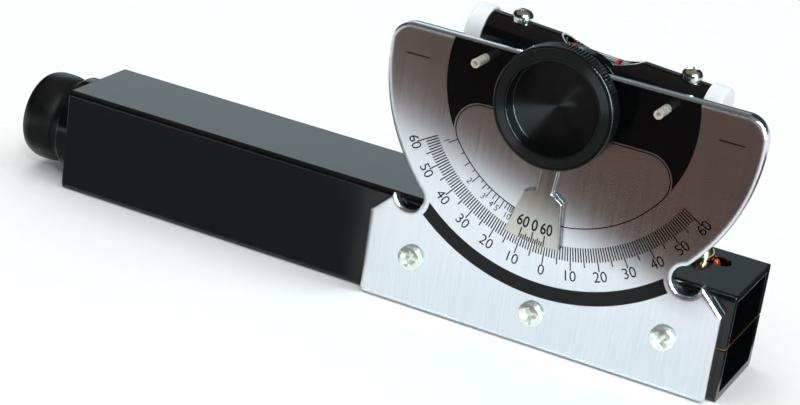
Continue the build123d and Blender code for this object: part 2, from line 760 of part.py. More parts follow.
# Draw tube, with the clip near its inner end that meets the plug when it is pulled out
neck_rear = plug_front - slip_clearance
cup_rear = neck_rear - eyecup_neck_length
cup_front = cup_rear - eyecup_length
draw_tube_front = cup_front + eyecup_front_wall
draw_tube_bore = draw_tube_radius - draw_tube_wall
stop_ring_front = tube_rear + plug_spigot_length + eyepiece_travel
with BuildPart() as draw_tube:
    with BuildSketch(tube_plane(draw_tube_front)):
        Circle(draw_tube_radius)
        Circle(draw_tube_bore, mode=Mode.SUBTRACT)
    extrude(amount=draw_tube_length)
    with BuildSketch(tube_plane(stop_ring_front)):
        Circle(draw_tube_radius)
        Circle(draw_tube_radius - stop_ring_groove, mode=Mode.SUBTRACT)
    extrude(amount=stop_ring_width, mode=Mode.SUBTRACT)
draw_tube.part.label = "draw_tube"
export_step(draw_tube.part, "parts/draw_tube.step")

with BuildPart() as stop_ring:
    with BuildSketch(tube_plane(stop_ring_front)):
        Circle(draw_tube_radius + stop_ring_lip)
        Circle(draw_tube_radius - stop_ring_groove, mode=Mode.SUBTRACT)
        with Locations((0, -draw_tube_radius)):
            Rectangle(2.4, 4 * stop_ring_lip, mode=Mode.SUBTRACT)
    extrude(amount=stop_ring_width)
stop_ring.part.label = "stop_ring"
export_step(stop_ring.part, "parts/stop_ring.step")

# Eyecup over the draw tube's outer end
with BuildPart() as eyecup:
    with BuildSketch(tube_plane(cup_front)):
        Circle(eyecup_radius)
    extrude(amount=eyecup_length)
    fillet(eyecup.edges().group_by(Axis.X)[0], eyecup_front_edge)
    fillet(eyecup.edges().group_by(Axis.X)[-1], eyecup_rear_edge)
    with BuildSketch(tube_plane(cup_rear)):
        Circle(eyecup_neck_radius)
    extrude(amount=eyecup_neck_length)
    with BuildSketch(tube_plane(draw_tube_front)):
        Circle(draw_tube_radius)
    extrude(amount=neck_rear - draw_tube_front, mode=Mode.SUBTRACT)
    with BuildSketch(tube_plane(cup_front)):
        Circle(eye_hole_radius)
    extrude(amount=eyecup_front_wall, mode=Mode.SUBTRACT)
    hole_rim = eyecup.edges().filter_by(GeomType.CIRCLE).group_by(Axis.X)[0].sort_by(SortBy.RADIUS)[0]
    fillet(hole_rim, eye_hole_flare)
eyecup.part.label = "eyecup"
export_step(eyecup.part, "parts/eyecup.step")

# Lens and the ring that holds it in the draw tube
lens_front = draw_tube_front
lens_back = lens_front + lens_crown + lens_thickness
with BuildPart() as eye_lens:
    with BuildSketch(Plane.XZ):
        with BuildLine():
            Polyline(
                (lens_front, tube_mid),
                (lens_back, tube_mid),
                (lens_back, tube_mid + draw_tube_bore),
                (lens_front + lens_crown, tube_mid + draw_tube_bore),
            )
            RadiusArc(
                (lens_front + lens_crown, tube_mid + draw_tube_bore),
                (lens_front, tube_mid),
                -(draw_tube_bore**2 + lens_crown**2) / (2 * lens_crown),
            )
        make_face()
    revolve(axis=Axis((0, 0, tube_mid), (1, 0, 0)))
eye_lens.part.label = "eye_lens"
export_step(eye_lens.part, "parts/eye_lens.step")

with BuildPart() as lens_ring:
    with BuildSketch(tube_plane(lens_back)):
        Circle(draw_tube_bore)
        Circle(draw_tube_bore - lens_ring_wall, mode=Mode.SUBTRACT)
    extrude(amount=lens_ring_length)
lens_ring.part.label = "lens_ring"
export_step(lens_ring.part, "parts/lens_ring.step")
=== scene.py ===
import math

import bmesh
import bpy
import numpy as np
from mathutils import Matrix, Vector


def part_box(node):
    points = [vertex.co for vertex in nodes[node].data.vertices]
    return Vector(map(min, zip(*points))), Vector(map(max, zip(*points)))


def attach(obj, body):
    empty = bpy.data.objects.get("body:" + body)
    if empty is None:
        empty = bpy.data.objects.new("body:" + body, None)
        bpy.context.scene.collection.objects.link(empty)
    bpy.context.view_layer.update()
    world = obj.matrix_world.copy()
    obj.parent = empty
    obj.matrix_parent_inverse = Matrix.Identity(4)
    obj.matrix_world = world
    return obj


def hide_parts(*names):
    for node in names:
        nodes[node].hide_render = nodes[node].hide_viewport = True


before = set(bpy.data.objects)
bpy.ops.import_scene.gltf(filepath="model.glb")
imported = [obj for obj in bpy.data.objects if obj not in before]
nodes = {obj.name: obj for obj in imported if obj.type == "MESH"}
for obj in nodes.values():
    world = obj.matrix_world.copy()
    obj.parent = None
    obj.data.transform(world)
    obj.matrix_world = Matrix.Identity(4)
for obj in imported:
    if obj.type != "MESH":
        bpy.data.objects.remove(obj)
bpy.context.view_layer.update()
mm = 0.001

# Places that the surfaces below share, in mm, taken from the solids where they give them:
# x runs along the sight tube, y away from the reader and z up.
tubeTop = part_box("sight_tube")[1].z / mm
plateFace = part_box("arc_plate")[0].y / mm
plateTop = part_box("arc_plate")[1].z / mm
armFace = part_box("index_arm")[0].y / mm + 0.8       # the vernier's front lies 0.8 behind the arm's ring
pivotHeight = 46.7
indexReading = math.radians(5.0)                    # how far the arm and its vernier stand turned
levelReading = math.radians(4.1)                    # the level is trimmed a little against the arm
levelMiddle = (-0.6, 2.0)                           # the level's middle from the pivot, along and up


def hexColour(code):
    # sRGB hex to linear red, green, blue and a full alpha
    parts = [int(code[k:k + 2], 16) / 255 for k in (1, 3, 5)]
    linear = [c / 12.92 if c <= 0.04045 else ((c + 0.055) / 1.055) ** 2.4 for c in parts]
    return (*linear, 1.0)


def addNode(tree, kind, settings=None, links=()):
    # settings names attributes or input sockets, links pairs an output socket with an input's name
    node = tree.nodes.new("ShaderNode" + kind)
    for key, value in (settings or {}).items():
        if isinstance(key, str) and hasattr(node, key):
            setattr(node, key, value)
        else:
            node.inputs[key].default_value = value
    for source, target in links:
        tree.links.new(source, node.inputs[target])
    return node


def startMaterial(name):
    # an empty material and its place pattern: the object's own coordinates, counted in mm
    material = bpy.data.materials.new(name)
    material.use_nodes = True
    tree = material.node_tree
    tree.nodes.clear()
    coordinates = addNode(tree, "TexCoord")
    inMm = addNode(tree, "Mapping", {"Scale": (1 / mm, 1 / mm, 1 / mm)},
                   [(coordinates.outputs["Object"], "Vector")])
    return material, tree, inMm.outputs["Vector"]


# Materials

noiseSpan = {"From Min": 0.25, "From Max": 0.75}    # nearly all of a noise's values lie in it


def endMaterial(tree, toneBy, dark, light, glossBy, roughLow, roughHigh, settings, links):
    # what most of the materials end in: one pattern picks the tone between dark and light, one picks the
    # roughness between low and high, and settings and links say the rest of the shader
    tone = addNode(tree, "Mix", {"data_type": "RGBA", 6: hexColour(dark), 7: hexColour(light)},
                   [(toneBy.outputs["Fac"], 0)])
    gloss = addNode(tree, "MapRange", {**noiseSpan, "To Min": roughLow, "To Max": roughHigh},
                    [(glossBy.outputs["Fac"], "Value")])
    shader = addNode(tree, "BsdfPrincipled", settings, [
        (tone.outputs[2], "Base Color"), (gloss.outputs["Result"], "Roughness"), *links])
    addNode(tree, "OutputMaterial", links=[(shader.outputs["BSDF"], "Surface")])


lacquerFinish = {
    "dark": "#060708", "light": "#0d0e10", "roughLow": 0.10, "roughHigh": 0.17, "patchesPerMm": 0.11,
    "peelPerMm": 0.6, "peelDepth": 0.0022, "easedEdge": 0.3,
}


def blackLacquer():
    # Stoving lacquer sprayed on brass: deep black and glossy, with a faint orange peel that softens
    # what it reflects, and a little dust in it. It runs thick over the sharp edges, so they look eased.
    f = lacquerFinish
    material, tree, place = startMaterial("stovingLacquerBlack")
    peel = addNode(tree, "TexNoise", {"Scale": f["peelPerMm"], "Detail": 2.0}, [(place, "Vector")])
    patches = addNode(tree, "TexNoise", {"Scale": f["patchesPerMm"], "Detail": 3.0}, [(place, "Vector")])
    eased = addNode(tree, "Bevel", {"samples": 6, "Radius": f["easedEdge"] * mm})
    skin = addNode(tree, "Bump", {"Distance": f["peelDepth"] * mm},
                   [(peel.outputs["Fac"], "Height"), (eased.outputs["Normal"], "Normal")])
    endMaterial(tree, patches, f["dark"], f["light"], patches, f["roughLow"], f["roughHigh"], {"IOR": 1.45},
                [(skin.outputs["Normal"], "Normal")])
    return material


def brushedMetal(name, dark, light, roughLow, roughHigh, linesPerMm, edge):
    # Linished sheet metal, clear anodised or satin plated: the fine upright lines draw each reflection
    # out sideways and leave it fairly sharp upwards. The lines are about 0.12 mm wide, coarser than
    # the real ones so that they show. The front edge is rolled over and polished, so it catches the
    # light all round: there the normal leans outwards over the edge's width, in mm.
    material, tree, place = startMaterial(name)
    drawnOut = addNode(tree, "Mapping", {"Scale": (linesPerMm, 1.2, 0.16)}, [(place, "Vector")])
    lines = addNode(tree, "TexNoise", {"Scale": 1.0, "Detail": 2.0}, [(drawnOut.outputs["Vector"], "Vector")])
    loaded = addNode(tree, "TexNoise", {"Scale": 0.22, "Detail": 2.0},
                     [(drawnOut.outputs["Vector"], "Vector")])
    rolled = addNode(tree, "Bevel", {"samples": 8, "Radius": edge * mm})
    scratches = addNode(tree, "Bump", {"Distance": 0.00018 * mm},
                        [(lines.outputs["Fac"], "Height"), (rolled.outputs["Normal"], "Normal")])
    endMaterial(tree, lines, dark, light, loaded, roughLow, roughHigh, {"Metallic": 1.0, "Anisotropic": 0.85},
                [(scratches.outputs["Normal"], "Normal")])
    return material


def platedMetal(name, dark, light, roughLow, roughHigh, cell, height, metallic=1.0):
    # Plating on a small steel or brass part, or its bare turned or drawn metal. A bright one is sharp
    # and slightly wavy, as plating gets in a barrel, and a satin one has a fine grain. Where metallic
    # is under 1 the metal is dull from tumbling, passivating or air, and scatters part of the light as
    # a pale matt paint does. cell is the grain's size and height its depth, in mm.
    material, tree, place = startMaterial(name)
    grain = addNode(tree, "TexNoise", {"Scale": 1 / cell, "Detail": 3.0}, [(place, "Vector")])
    waves = addNode(tree, "Bump", {"Distance": height * mm}, [(grain.outputs["Fac"], "Height")])
    endMaterial(tree, grain, dark, light, grain, roughLow, roughHigh, {"Metallic": metallic},
                [(waves.outputs["Normal"], "Normal")])
    return material


# The knob's finish: each radius is where one part of its face gives way to the next, in mm
anodisedFinish = {
    "dish": "#010101", "faceDark": "#080c0b", "faceLight": "#101514", "patchesPerMm": 0.4,
    "satinLow": 0.37, "satinHigh": 0.42, "burnished": 0.15,
    "dishRadius": 8.1, "lipRadius": 8.3, "lipHalfWidth": 0.3, "rimRadius": 10.05,
}


def blackAnodised():
    # Black anodised aluminium, turned: concentric tool lines pull every highlight into a streak across
    # them, following the surface's own map, whose first direction runs round the knob. The flats are
    # satin, the dish is darker, and the dish's lip and the rim are burnished and flash in a thin line.
    f = anodisedFinish
    material, tree, place = startMaterial("blackAnodisedTurned")
    around = addNode(tree, "Tangent", {"direction_type": "UV_MAP", "uv_map": "surface"})
    patches = addNode(tree, "TexNoise", {"Scale": f["patchesPerMm"], "Detail": 4.0}, [(place, "Vector")])
    fromPivot = addNode(tree, "VectorMath", {"operation": "SUBTRACT", 1: (0, 0, pivotHeight)}, [(place, 0)])
    flattened = addNode(tree, "VectorMath", {"operation": "MULTIPLY", 1: (1, 0, 1)},
                        [(fromPivot.outputs["Vector"], 0)])
    distance = addNode(tree, "VectorMath", {"operation": "LENGTH"}, [(flattened.outputs["Vector"], 0)])
    radius = distance.outputs["Value"]
    lip = addNode(tree, "Math", {"operation": "COMPARE", 1: f["lipRadius"], 2: f["lipHalfWidth"]},
                  [(radius, 0)])
    rim = addNode(tree, "Math", {"operation": "GREATER_THAN", 1: f["rimRadius"]}, [(radius, 0)])
    edges = addNode(tree, "Math", {"operation": "MAXIMUM"}, [(lip.outputs[0], 0), (rim.outputs[0], 1)])
    face = addNode(tree, "Math", {"operation": "GREATER_THAN", 1: f["dishRadius"]}, [(radius, 0)])
    faceTone = addNode(tree, "Mix", {
        "data_type": "RGBA", 6: hexColour(f["faceDark"]), 7: hexColour(f["faceLight"])},
        [(patches.outputs["Fac"], 0)])
    tone = addNode(tree, "Mix", {"data_type": "RGBA", 6: hexColour(f["dish"])},
                   [(face.outputs[0], 0), (faceTone.outputs[2], 7)])
    satin = addNode(tree, "MapRange", {**noiseSpan, "To Min": f["satinLow"], "To Max": f["satinHigh"]},
                    [(patches.outputs["Fac"], "Value")])
    gloss = addNode(tree, "Mix", {"data_type": "FLOAT", 3: f["burnished"]},
                    [(edges.outputs[0], 0), (satin.outputs["Result"], 2)])
    shader = addNode(tree, "BsdfPrincipled", {
        "IOR": 1.4, "Anisotropic": 0.95, "Anisotropic Rotation": 0.25}, [
        (tone.outputs[2], "Base Color"), (gloss.outputs[0], "Roughness"),
        (around.outputs["Tangent"], "Tangent")])
    addNode(tree, "OutputMaterial", links=[(shader.outputs["BSDF"], "Surface")])
    return material


def mouldedPlastic(name, dark, light, roughness, peelHeight, through=0.0, ior=1.49):
    # Moulded plastic, rubber or fibre with the mould's faint texture; also paint, print, thread lacquer
    # and blackened steel. Where through is over 0 light goes a little way in, as in milky polythene.
    material, tree, place = startMaterial(name)
    texture = addNode(tree, "TexNoise", {"Scale": 2.8, "Detail": 3.0}, [(place, "Vector")])
    patches = addNode(tree, "TexNoise", {"Scale": 0.33, "Detail": 3.0}, [(place, "Vector")])
    skin = addNode(tree, "Bump", {"Distance": peelHeight * mm}, [(texture.outputs["Fac"], "Height")])
    endMaterial(tree, patches, dark, light, patches, roughness * 0.8, roughness * 1.2, {
        "IOR": ior, "Subsurface Weight": through, "Subsurface Scale": 0.0012,
        "Subsurface Radius": (1.0, 0.95, 0.9)}, [(skin.outputs["Normal"], "Normal")])
    return material


def clearGlass(name, tint, ior):
    # Drawn glass or clear liquid: smooth, with faint lengthwise waves from drawing.
    material, tree, place = startMaterial(name)
    drawnOut = addNode(tree, "Mapping", {"Scale": (0.05, 1.1, 1.1)}, [(place, "Vector")])
    waves = addNode(tree, "TexNoise", {"Scale": 1.0, "Detail": 1.0}, [(drawnOut.outputs["Vector"], "Vector")])
    ripple = addNode(tree, "Bump", {"Distance": 0.001 * mm}, [(waves.outputs["Fac"], "Height")])
    shader = addNode(tree, "BsdfPrincipled", {
        "Base Color": hexColour(tint), "Transmission Weight": 1.0, "IOR": ior, "Roughness": 0.0},
        [(ripple.outputs["Normal"], "Normal")])
    addNode(tree, "OutputMaterial", links=[(shader.outputs["BSDF"], "Surface")])
    return material


lacquer = blackLacquer()
aluminium = brushedMetal("linishedAluminium", "#d9dfe7", "#eef2f7", 0.135, 0.165, 8.0, 1.15)
nickel = brushedMetal("satinNickelPlate", "#babdb8", "#d2d4ce", 0.14, 0.18, 8.0, 0.3)
ink = mouldedPlastic("screenInkBlack", "#050606", "#0a0b0c", 0.14, 0.0015, ior=1.33)
anodised = blackAnodised()
eyeAcetal = mouldedPlastic("acetalBlackSatin", "#060707", "#0b0c0c", 0.38, 0.003, ior=1.42)
capPlastic = mouldedPlastic("polyetheneMilky", "#f2f5fb", "#fafcff", 0.34, 0.003, through=0.35)
seatPlastic = mouldedPlastic("nylonWhite", "#d2d2cc", "#dededa", 0.5, 0.004)
fibre = mouldedPlastic("vulcanisedFibre", "#4a4238", "#5f5547", 0.6, 0.01)
zinc = platedMetal("zincPlate", "#e4e8e0", "#fdfff8", 0.16, 0.28, 0.8, 0.02, metallic=0.75)
brightZinc = platedMetal("zincPlateBright", "#d9dcd2", "#f4f5ec", 0.12, 0.22, 0.8, 0.02)
steel = platedMetal("turnedSteel", "#9a9b9c", "#bcbdbe", 0.25, 0.38, 0.8, 0.012)
bareRim = platedMetal("bareNickelSilver", "#e6e7e4", "#f8f8f5", 0.25, 0.35, 0.5, 0.004, metallic=0.5)
pinNickel = platedMetal("nickelPlateTumbled", "#f4eedc", "#fffcf0", 0.22, 0.30, 0.9, 0.001, metallic=0.6)
brass = platedMetal("brassPolished", "#d8b877", "#f0dcae", 0.12, 0.24, 0.8, 0.012)
copper = platedMetal("copperTarnished", "#34261a", "#8a6844", 0.35, 0.5, 0.6, 0.004)
silvering = platedMetal("silveredGlass", "#e4e7ea", "#f2f4f6", 0.01, 0.05, 4.0, 0.0)
blackSteel = mouldedPlastic("blackenedSteel", "#0b0b0c", "#141415", 0.45, 0.004)
rubber = mouldedPlastic("nitrileRubber", "#101010", "#1a1a1a", 0.6, 0.01)
glass = clearGlass("drawnGlass", "#f6fbfa", 1.5)
spirit = clearGlass("levelSpirit", "#dfe9a6", 1.36)
redPaint = mouldedPlastic("enamelRed", "#a80f12", "#c01a1a", 0.3, 0.002)
sealLacquer = mouldedPlastic("threadLacquerOrange", "#b4300a", "#d4481a", 0.25, 0.01)
print("materials ready")

nodeFinishes = {
    "sight_tube": lacquer, "end_plug": lacquer, "vial_housing": lacquer,
    "arc_plate": aluminium, "nut_strip": steel, "plate_screws": zinc, "vial_screws": brightZinc,
    "stop_pins": pinNickel, "pivot_bush": brass, "pivot_shaft": steel, "friction_washer": fibre,
    "knob": anodised, "knob_set_screw": blackSteel, "index_arm": nickel, "vial_carrier": lacquer,
    "left_end_cap": capPlastic, "right_end_cap": capPlastic, "vial_seats": seatPlastic,
    "vial_stopper": rubber, "glass_vial": glass, "vial_spirit": spirit,
    "mirror": silvering, "mirror_holder": blackSteel, "mirror_screw": brass, "cross_wire": copper,
    "draw_tube": blackSteel, "eyecup": eyeAcetal, "eye_lens": glass, "lens_ring": blackSteel,
    "stop_ring": steel,
}
for nodeName, finish in nodeFinishes.items():
    nodes[nodeName].data.materials.clear()
    nodes[nodeName].data.materials.append(finish)
print("solids dressed")


# Surfaces

def meshPiece(name, points, faces, material, body, sharpAngle=35, across=None):
    # points in mm in the row frame, faces as rows of corner numbers, across as a place on the surface
    # for each corner of each face
    mesh = bpy.data.meshes.new(name)
    mesh.from_pydata((np.asarray(points) * mm).tolist(), [], [list(f) for f in faces])
    if across is not None:
        layer = mesh.uv_layers.new(name="surface")
        layer.data.foreach_set("uv", np.asarray(across, dtype=float).ravel())
    work = bmesh.new()
    work.from_mesh(mesh)
    bmesh.ops.remove_doubles(work, verts=work.verts, dist=1e-8)
    bmesh.ops.recalc_face_normals(work, faces=work.faces)
    work.to_mesh(mesh)
    work.free()
    mesh.polygons.foreach_set("use_smooth", np.ones(len(mesh.polygons), dtype=bool))
    mesh.set_sharp_from_angle(angle=math.radians(sharpAngle))
    mesh.materials.append(material)
    piece = bpy.data.objects.new(name, mesh)
    bpy.context.scene.collection.objects.link(piece)
    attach(piece, body)
    return piece


def gridPiece(name, grids, material, body, sharpAngle=35):
    # each grid is rows by columns of points; neighbours make a four-cornered face, and rows or columns
    # that meet are merged, which closes the seams and the poles
    points, faces, spots, start = [], [], [], 0
    for grid in grids:
        rows, columns = grid.shape[:2]
        number = np.arange(rows * columns).reshape(rows, columns)
        corners = np.stack([number[:-1, :-1], number[1:, :-1], number[1:, 1:], number[:-1, 1:]], -1)
        corners = corners.reshape(-1, 4)
        spot = np.stack(np.meshgrid(np.linspace(0, 1, columns), np.linspace(0, 1, rows)), -1).reshape(-1, 2)
        points.append(grid.reshape(-1, 3))
        faces.append(corners + start)
        spots.append(spot[corners])
        start += rows * columns
    return meshPiece(name, np.concatenate(points), np.concatenate(faces), material, body, sharpAngle,
                     np.concatenate(spots))


def roundedLine(corners, steps=7):
    # a line through (radius, depth, rounding) corners, each one cut back by its rounding and bridged by
    # a quadratic curve whose middle handle is the corner
    spots = np.array([c[:2] for c in corners], dtype=float)
    line = [spots[:1]]
    blend = np.linspace(0, 1, steps)[:, None]
    roundings = [c[2] for c in corners[1:-1]]
    for before, here, after, rounding in zip(spots[:-2], spots[1:-1], spots[2:], roundings):
        if rounding == 0:
            line.append(here[None])
            continue
        start = here + (before - here) / np.linalg.norm(before - here) * rounding
        end = here + (after - here) / np.linalg.norm(after - here) * rounding
        line.append((1 - blend) ** 2 * start + 2 * blend * (1 - blend) * here + blend ** 2 * end)
    line.append(spots[-1:])
    return np.concatenate(line)


def turned(profile, place, columns=96, cut=None):
    # a profile of (radius, depth) points carried round an axis: at each turn the point stands at its
    # radius from the axis and at its depth along it, less what cut takes off both
    turn = np.linspace(0, 2 * math.pi, columns + 1)[None]
    radius = np.repeat(profile[:, :1], columns + 1, axis=1)
    depth = np.repeat(profile[:, 1:2], columns + 1, axis=1)
    if cut is not None:
        radius, depth = cut(radius, depth, turn)
    return place(radius * np.cos(turn), radius * np.sin(turn), depth)


def dialPlace(across, up, y, turn=0.0):
    # a point of the dial's face: across to the right and up from the pivot, turned with the index
    x = across * math.cos(turn) + up * math.sin(turn)
    z = pivotHeight - across * math.sin(turn) + up * math.cos(turn)
    return np.stack(np.broadcast_arrays(x, y, z), axis=-1)


def levelPlace(along, up, away):
    # a point of the level: along its housing, up from the housing's middle and away from the reader
    return dialPlace(along + levelMiddle[0], up + levelMiddle[1], away, levelReading)


# Knob: a turned disc with straight knurls round its rim, a shallow dish in front and a hub behind.
# The ridges grow from ridgeStart to ridgeFull behind the front and fade over ridgeFade at the back.
knobShape = {
    "radius": 10.8, "front": -20.4, "back": -16.8, "shoulder": 0.45, "draft": 0.04, "backEdge": 0.45,
    "dish": 8.25, "dishFloor": -17.6, "dishDraft": 0.1, "dishEdge": 0.22, "dishFoot": 0.3,
    "hub": 4.5, "hubBack": -13.92, "bore": 2.12,
    "ridges": 110, "ridgeDepth": 0.2, "ridgePower": 1.4, "columnsPerRidge": 6,
    "ridgeStart": 0.05, "ridgeFull": 0.7, "ridgeFade": 0.4, "ridgeBand": 0.6,
}


def knobPiece():
    # corners are (radius, depth, rounding)
    k = knobShape
    profile = roundedLine([
        (0, k["dishFloor"], 0), (k["dish"] - k["dishDraft"], k["dishFloor"], k["dishFoot"]),
        (k["dish"], k["front"], k["dishEdge"]), (k["radius"] - k["draft"], k["front"], k["shoulder"]),
        (k["radius"], k["back"] - k["backEdge"], 0.1), (k["radius"] - k["backEdge"], k["back"], 0.1),
        (k["hub"], k["back"], 0.2), (k["hub"], k["hubBack"], 0.2), (k["bore"], k["hubBack"], 0.1),
        (k["bore"], k["back"], 0), (0, k["back"], 0)])
    rim = np.interp(profile[:, 1], [k["front"] + k["ridgeStart"], k["front"] + k["ridgeFull"],
                                    k["back"] - k["ridgeFade"], k["back"]], [0, 1, 1, 0])
    rim = rim * (profile[:, 0] > k["radius"] - k["ridgeBand"])

    def knurl(radius, depth, turn):
        # each ridge is a rounded tooth: a cosine round the rim, sharpened, that fades at both edges
        tooth = (0.5 - 0.5 * np.cos(turn * k["ridges"])) ** k["ridgePower"]
        return radius - k["ridgeDepth"] * rim[:, None] * tooth, depth
    grid = turned(profile, dialPlace, k["ridges"] * k["columnsPerRidge"], knurl)
    piece = gridPiece("knobTurned", [grid], anodised, "index", sharpAngle=50)
    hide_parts("knob")


knobPiece()

# Eyecup: a smooth barrel on a short neck, hollow, with a flared hole for the eye

eyecupShape = {
    "front": -112.2, "shoulder": -105.2, "neckEnd": -103.52, "radius": 8.7, "neck": 7.9, "bore": 7.02,
    "boreFloor": -109.6, "hole": 4.2, "axisHeight": 10.0, "neckDraft": 0.1, "backEase": 0.75,
    "frontEase": 0.9, "easeLength": 1.5, "flare": 1.6, "flareDepth": 1.7, "columns": 128,
}


def eyecupPiece():
    # corners are (radius, place along the tube, rounding)
    e = eyecupShape
    profile = roundedLine([
        (e["bore"], e["neckEnd"], 0), (e["neck"], e["neckEnd"], 0.25),
        (e["neck"], e["shoulder"] + e["neckDraft"], 0.4), (e["radius"] - e["backEase"], e["shoulder"], 0.5),
        (e["radius"], e["shoulder"] - e["easeLength"], 1.4), (e["radius"], e["front"] + e["easeLength"], 1.2),
        (e["radius"] - e["frontEase"], e["front"], 0.8), (e["hole"] + e["flare"], e["front"], 0.9),
        (e["hole"], e["front"] + e["flareDepth"], 0.9), (e["hole"], e["boreFloor"], 0.1),
        (e["bore"], e["boreFloor"], 0), (e["bore"], e["neckEnd"], 0)], 9)

    def onTube(side, up, along):
        return np.stack([along, side, up + e["axisHeight"]], axis=-1)
    piece = gridPiece("eyecupMoulded", [turned(profile, onTube, e["columns"])], eyeAcetal, "eyepiece")
    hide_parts("eyecup")


eyecupPiece()

# End caps of the level: soft plastic cups pushed over both ends of the housing

capShape = {
    "housingEnd": 22.6, "skirt": 2.0, "end": 1.3, "outer": 4.83, "inner": 4.335, "edge": 0.75, "lip": 0.12,
    "clearance": 0.01,
}


def capPiece(name, side):
    # corners are (radius, place along the level, rounding)
    c = capShape
    floor = c["housingEnd"] + c["clearance"]
    mouth = c["housingEnd"] - c["skirt"]
    top = c["housingEnd"] + c["end"]
    profile = roundedLine([
        (0, floor, 0), (c["inner"], floor, 0), (c["inner"], mouth, c["lip"]), (c["outer"], mouth, c["lip"]),
        (c["outer"], top, c["edge"]), (0, top, 0)], 9)
    grid = turned(profile, lambda a, b, d: levelPlace(side * d, a, b))
    piece = gridPiece(name, [grid], capPlastic, "index")
    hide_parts("left_end_cap" if side < 0 else "right_end_cap")


capPiece("capLeftMoulded", -1)
capPiece("capRightMoulded", 1)

# Red lines on the vial, one each side of the bubble's resting place

levelMarks = {"middle": -0.58, "offset": 4.27, "width": 0.5, "glass": 3.2, "proud": 0.03, "sunk": 0.02}


def levelMarkPiece():
    # each mark is a ring: a small rectangle carried round the vial's axis
    m = levelMarks
    grids = []
    for side in (-1, 1):
        low, high = [m["middle"] + side * m["offset"] + edge * m["width"] / 2 for edge in (-1, 1)]
        inside, outside = m["glass"] - m["sunk"], m["glass"] + m["proud"]
        profile = np.array([(inside, low), (outside, low), (outside, high), (inside, high), (inside, low)])
        grids.append(turned(profile, lambda a, b, d: levelPlace(d, a, b), 64))
    gridPiece("levelMarks", grids, redPaint, "index")


levelMarkPiece()

# Bare metal round the level's window, where the scoop cut through the lacquer

windowRim = {
    "scoop": 16.0, "floor": 2.25, "shift": 0.2, "lean": 6.5, "outer": 4.33, "inner": 4.11, "proud": 0.015,
    "sunk": 0.03, "columns": 241,
}


def windowRimPiece():
    # the scoop is a cylinder that lies across the housing, so at each step along it has one height;
    # a ring of the housing's wall at some radius meets it where width squared is radius squared less
    # height squared. Two such rings near the wall's outside are the edges of the bare strip.
    w = windowRim
    around = np.linspace(0, 2 * math.pi, w["columns"])[None]
    radius = np.array([w["inner"], w["outer"], w["outer"], w["inner"], w["inner"]])[:, None]
    lift = np.array([w["proud"], w["proud"], -w["sunk"], -w["sunk"], w["proud"]])[:, None]
    reach = np.sqrt(w["scoop"] ** 2 - (w["scoop"] + w["floor"] - radius) ** 2)
    along = reach * np.cos(around)
    height = w["floor"] + w["scoop"] - np.sqrt(w["scoop"] ** 2 - along ** 2)
    width = np.sign(np.sin(around)) * np.sqrt(np.clip(radius ** 2 - height ** 2, 0, None))
    lean = math.radians(w["lean"])
    up, away = height + lift, width
    grid = levelPlace(along + w["shift"], up * math.cos(lean) - away * math.sin(lean),
                      up * math.sin(lean) + away * math.cos(lean))
    gridPiece("levelWindowRim", [grid], bareRim, "index")


windowRimPiece()

# Screws: a domed head with a recess, and a threaded shank

screwForm = {
    "headRows": 34, "rowCrowding": 0.8, "domePower": 2.3, "columns": 72, "rowsPerPitch": 6,
    "threadDepth": 0.36, "armSides": 0.25, "armEnds": 0.55, "slotSides": 0.2,
}


def screwGrid(s, place, spin, recess):
    # head: height falls from the crown as a flattened dome; recess takes depth off where the driver
    # fits. Shank: radius falls and rises with the thread, a triangle wave along a helix
    f = screwForm
    reach = np.linspace(0, 1, f["headRows"]) ** f["rowCrowding"] * s["head"]
    skirt = s["skirt"] * s["height"]
    dome = skirt + (s["height"] - skirt) * np.sqrt(np.clip(1 - (reach / s["head"]) ** f["domePower"], 0, 1))
    shankRows = np.linspace(0, -s["length"], int(s["length"] / s["pitch"] * f["rowsPerPitch"]) + 1)
    profile = np.concatenate([
        np.stack([reach, dome], 1), [[s["head"], 0.0], [s["shank"], 0.0]],
        np.stack([np.full(len(shankRows), s["shank"]), shankRows], 1)[1:], [[0, -s["length"]]]])
    onHead = np.arange(len(profile)) < f["headRows"]
    onShank = (profile[:, 1] < 0) & (profile[:, 0] > 0)

    def shape(radius, depth, turn):
        sunk = recess(radius * np.cos(turn + spin), radius * np.sin(turn + spin))
        wave = np.abs(((turn / (2 * math.pi) + depth / s["pitch"]) % 1) * 2 - 1)
        thread = f["threadDepth"] * s["pitch"] * wave
        return radius - np.where(onShank[:, None], thread, 0), depth - np.where(onHead[:, None], sunk, 0)
    return turned(profile, place, f["columns"], shape)


def crossRecess(s):
    # two crossed arms: each is deepest in the middle, with sides and ends that slope over a share of
    # its width and reach
    def depthAt(u, v):
        def arm(lengthwise, sideways):
            sides = (s["armWidth"] / 2 - np.abs(sideways)) / (screwForm["armSides"] * s["armWidth"])
            ends = (s["armReach"] - np.abs(lengthwise)) / (screwForm["armEnds"] * s["armReach"])
            return np.clip(np.minimum(sides, ends), 0, 1)
        return s["recess"] * np.maximum(arm(u, v), arm(v, u))
    return depthAt


def slotRecess(s):
    # one straight slot right across the head, with sloped sides
    def depthAt(u, v):
        sides = (s["slotWidth"] / 2 - np.abs(v)) / (screwForm["slotSides"] * s["slotWidth"])
        return s["recess"] * np.clip(sides, 0, 1)
    return depthAt


